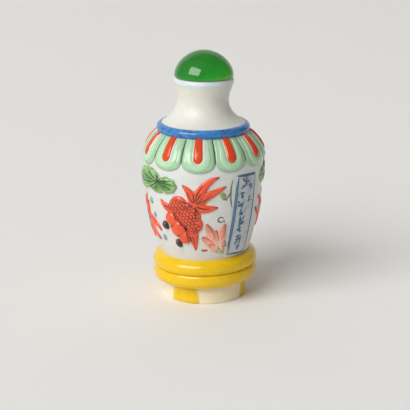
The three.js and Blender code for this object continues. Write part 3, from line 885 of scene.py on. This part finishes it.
class LotusOperator(bpy.types.Operator):
    """Carves the lotus leaves with their veins, the flowers, and the small weeds between them."""
    bl_idname = "snuff.lotus"
    bl_label = "Lotus leaves and flowers"

    def execute(self, context):
        settings = context.scene.snuff_bottle
        leaf_height, petal_height = settings.leaf_height / MM, settings.petal_height / MM
        leaf, petal = leaf_glass(settings), lotus_glass(settings)
        green = enamel("dark green enamel", "#27482a", "#3d5c34")
        red = enamel("rose enamel", "#b44c40", "#c66452")
        for number, (x, z, side, rise) in enumerate(LEAVES, 1):
            folds = [Dome(oval((x + side * dx, z + dz), a, b, 0, waves, 0.04, 84), rise * high * leaf_height,
                          3.6) for dx, dz, a, b, waves, high in LEAF_FOLDS]
            under = envelope(folds)
            veins = [stroke(self.vein((x + side * 0.4, z + 0.9), angle, side * reach), 0.36, under)
                     for angle, reach in MAIN_VEINS]
            veins += [stroke(self.vein((x + side * dx, z + dz), angle, side * 1.2), 0.26, under)
                      for dx, dz, angle in SIDE_VEINS]
            piece(f"lotus_leaf_{number}", [fold.shell() for fold in folds], leaf)
            piece(f"lotus_leaf_{number}_veins", veins, green)
        for number, (x, z) in enumerate(FLOWERS, 1):
            root = (x + 0.4, z - 1.8)
            petals = [Blade(bowed(root, (x + dx, z + dz), 0.3), 3.3, petal_height + 0.06 * i)
                      for i, (dx, dz) in enumerate(PETAL_TIPS)]
            under = envelope(petals)
            edges = [stroke(bowed((x + dx, z + dz), (x + 0.3 * dx + 0.3, z + 0.3 * dz - 1.0), 0.5, 12), 0.26,
                            under) for dx, dz in PETAL_TIPS]
            piece(f"lotus_flower_{number}", [blade.shell() for blade in petals], petal)
            piece(f"lotus_flower_{number}_lines", edges, red)
        self.weeds(red)
        return {"FINISHED"}

    def vein(self, start, angle, reach):
        """A slightly bowed line off at the angle; a reach below 0 mirrors it sideways."""
        start = np.array(start)
        end = start + np.array([reach * cos(angle), 0.8 * abs(reach) * sin(angle)])
        bow = 0.05 * np.array([start[1] - end[1], end[0] - start[0]])
        return bezier(start, (start * 0.67 + end * 0.33 + bow, start * 0.33 + end * 0.67 + bow), end, 12)

    def weeds(self, red):
        """The stem and fork beside the plaque, two buds, one of them on a stalk, a ring with its tail, a curl
        and a dot; then a short red stroke and a long one."""
        a = np.linspace(0.3, 2 * pi - 0.2, 20)
        ring = np.stack([4.9 + 0.85 * np.cos(a), 26.6 + 0.75 * np.sin(a)], axis=1)
        stem = bezier((8.0, 38.2), ((7.2, 35.6), (7.2, 33.0)), (8.0, 29.8), 20)
        curl = bezier((3.8, 18.4), ((3.7, 17.4), (3.7, 16.8)), (4.1, 16.2), 10)
        ring_tail = bezier((5.5, 26.4), ((5.8, 26.2), (6.0, 26.0)), (6.1, 25.9), 8)
        bud_stalk = bezier((5.1, 34.2), ((5.4, 33.2), (5.8, 32.6)), (6.5, 32.4), 10)
        fork = bezier((7.4, 34.4), ((7.0, 34.0), (6.6, 33.4)), (6.5, 32.6), 10)
        dot = bezier((6.2, 16.6), ((6.3, 16.4), (6.3, 16.1)), (6.3, 15.8), 8)
        strokes = [stroke(path, width, bare_wall) for path, width in (
            (stem, 0.5), (ring, 0.45), (curl, 0.3), (ring_tail, 0.4), (bud_stalk, 0.7), (fork, 0.4),
            (dot, 0.6))]
        piece("weed_lines", strokes, enamel("olive enamel", "#4e6240", "#74855c"))
        buds = [Dome(oval((5.3, 33.6), 1.2, 0.75, 1.9), 0.4, 3.0), Dome(oval((5.3, 16.9), 1.3, 1.0), 0.4, 3.0)]
        piece("weed_buds", [bud.shell() for bud in buds], bud_glass())
        short = bezier((-1.1, 17.3), ((-0.4, 17.0), (0.4, 17.0)), (1.2, 17.3), 10)
        long = bezier((-22.9, 34.6), ((-23.2, 30.0), (-23.0, 26.0)), (-22.2, 20.0), 20)
        piece("red_strokes", [stroke(short, 0.8, bare_wall), stroke(long, 0.4, bare_wall)], red)


class BubblesOperator(bpy.types.Operator):
    """Sets the blue bubbles beside the fish."""
    bl_idname = "snuff.bubbles"
    bl_label = "Bubbles"

    def execute(self, context):
        beads = [Dome(oval((x, z), r, r * 0.66, 1.9), 0.5, 2.0).shell() for x, z, r in BUBBLES]
        piece("bubbles", beads, bubble_glass())
        return {"FINISHED"}


# Widths of the plaque's border: bottom, right, top, left.
BORDER_WIDTHS = (0.9, 0.6, 0.7, 0.75)

# Bundles of dashes on the plaque, as middle and size: a long column, then a short one.
MARKS = ((11.5, 36.6, 1.7), (10.9, 33.4, 1.0), (10.7, 30.6, 1.4), (11.0, 28.0, 1.0), (11.0, 25.2, 1.6),
         (11.1, 22.6, 0.9), (11.3, 20.0, 1.7), (11.8, 17.2, 0.8), (13.9, 35.6, 1.1), (13.5, 31.6, 1.2))
COLUMN_SPLIT_X = 12.5

# The dashes of a bundle: direction and share of its size.
DASHES = ((1.5, 1.0), (0.9, 0.7), (0.1, 0.6), (0.0, 0.8), (2.2, 0.5), (1.6, 0.6))


class PlaqueOperator(bpy.types.Operator):
    """Fires the plaque with its border and two columns of short strokes, which are no letters."""
    bl_idname = "snuff.plaque"
    bl_label = "Plaque"

    def execute(self, context):
        settings = context.scene.snuff_bottle
        plaque = Dome(four_sided(PLAQUE_CORNERS), settings.plaque_height / MM, 24.0)
        piece("plaque", [plaque.shell(14)], plaque_glass(settings))
        corners = np.array(PLAQUE_CORNERS)
        border = []
        for a, b, width in zip(corners, np.roll(corners, -1, axis=0), BORDER_WIDTHS):
            inward = corners.mean(axis=0) - (a + b) / 2
            inward /= np.hypot(*inward)
            over = (b - a) / np.hypot(*(b - a)) * 0.2
            path = np.linspace(a - over, b + over, 30) + inward * 0.25
            border.append(stroke(path, width, plaque.height_at, 0.16))
        piece("plaque_border", border, border_glass())
        piece("plaque_strokes", self.strokes(plaque), enamel("ink blue enamel", "#2a557c", "#587a96"))
        return {"FINISHED"}

    def strokes(self, plaque):
        """Bundles of dashes, an upright, slants and level ones, placed by chance, heavier in the long
        column."""
        chance = np.random.default_rng(5)
        shells = []
        for x, z, size in MARKS:
            width = 0.6 if x < COLUMN_SPLIT_X else 0.4
            for turn, share in DASHES:
                middle = np.array([x, z]) + chance.uniform(-0.6, 0.6, 2) * size
                half = size * share * chance.uniform(0.6, 1.1) * np.array([cos(turn), sin(turn)])
                shells.append(stroke(np.linspace(middle - half, middle + half, 9), width, plaque.height_at))
        return shells


class StopperOperator(bpy.types.Operator):
    """Turns the green glass stopper: a dome on a short plug."""
    bl_idname = "snuff.stopper"
    bl_label = "Stopper"

    def execute(self, context):
        seat = LIP_CENTRE[1] + LIP_R + SEAT_GAP
        top = seat + DOME_H
        profile = np.concatenate([
            [(0.01, PLUG_FOOT_Z), (PLUG_R - DOME_EDGE, PLUG_FOOT_Z)],
            arc((PLUG_R - DOME_EDGE, PLUG_FOOT_Z + DOME_EDGE), DOME_EDGE, -80, 0, 5),
            [(PLUG_R, seat - 0.2), (PLUG_R + 0.1, seat), (DOME_R - DOME_EDGE - 0.1, seat)],
            arc((DOME_R - DOME_EDGE, seat + DOME_EDGE), DOME_EDGE, -80, -10, 6),
            bezier((DOME_R, seat + DOME_EDGE), DOME_HANDLES, (0, top), 60)[:-1],
        ])
        poles = [(0, 0, PLUG_FOOT_Z * MM), (0, 0, top * MM)]
        glass = green_glass(context.scene.snuff_bottle)
        piece("stopper_glass", [Shell(turned(profile, 128), poles)], glass, "stopper")
        return {"FINISHED"}


OPERATORS = (StageOperator, BodyOperator, RingsOperator, CollarOperator, GoldfishOperator, LotusOperator,
             BubblesOperator, PlaqueOperator, StopperOperator)


class SnuffBottlePanel(bpy.types.Panel):
    """Lists the pieces of the bottle and its settings."""
    bl_idname = "VIEW3D_PT_snuff_bottle"
    bl_label = "Snuff bottle"
    bl_space_type = "VIEW_3D"
    bl_region_type = "UI"
    bl_category = "Snuff bottle"

    def draw(self, context):
        for operator in OPERATORS:
            self.layout.operator(operator.bl_idname)
        settings = context.scene.snuff_bottle
        for name in settings.bl_rna.properties.keys():
            if name not in ("rna_type", "name"):
                self.layout.prop(settings, name)


CLASSES = (BottleSettings, *OPERATORS, SnuffBottlePanel)


def register():
    """Adds the classes, and the settings to the scene."""
    for made in CLASSES:
        bpy.utils.register_class(made)
    bpy.types.Scene.snuff_bottle = bpy.props.PointerProperty(type=BottleSettings)


def unregister():
    """Takes the settings and the classes away again."""
    del bpy.types.Scene.snuff_bottle
    for made in reversed(CLASSES):
        bpy.utils.unregister_class(made)


def main():
    """Makes the stage and every piece."""
    register()
    for operator in OPERATORS:
        group, name = operator.bl_idname.split(".")
        getattr(getattr(bpy.ops, group), name)()


if __name__ == "__main__":
    main()
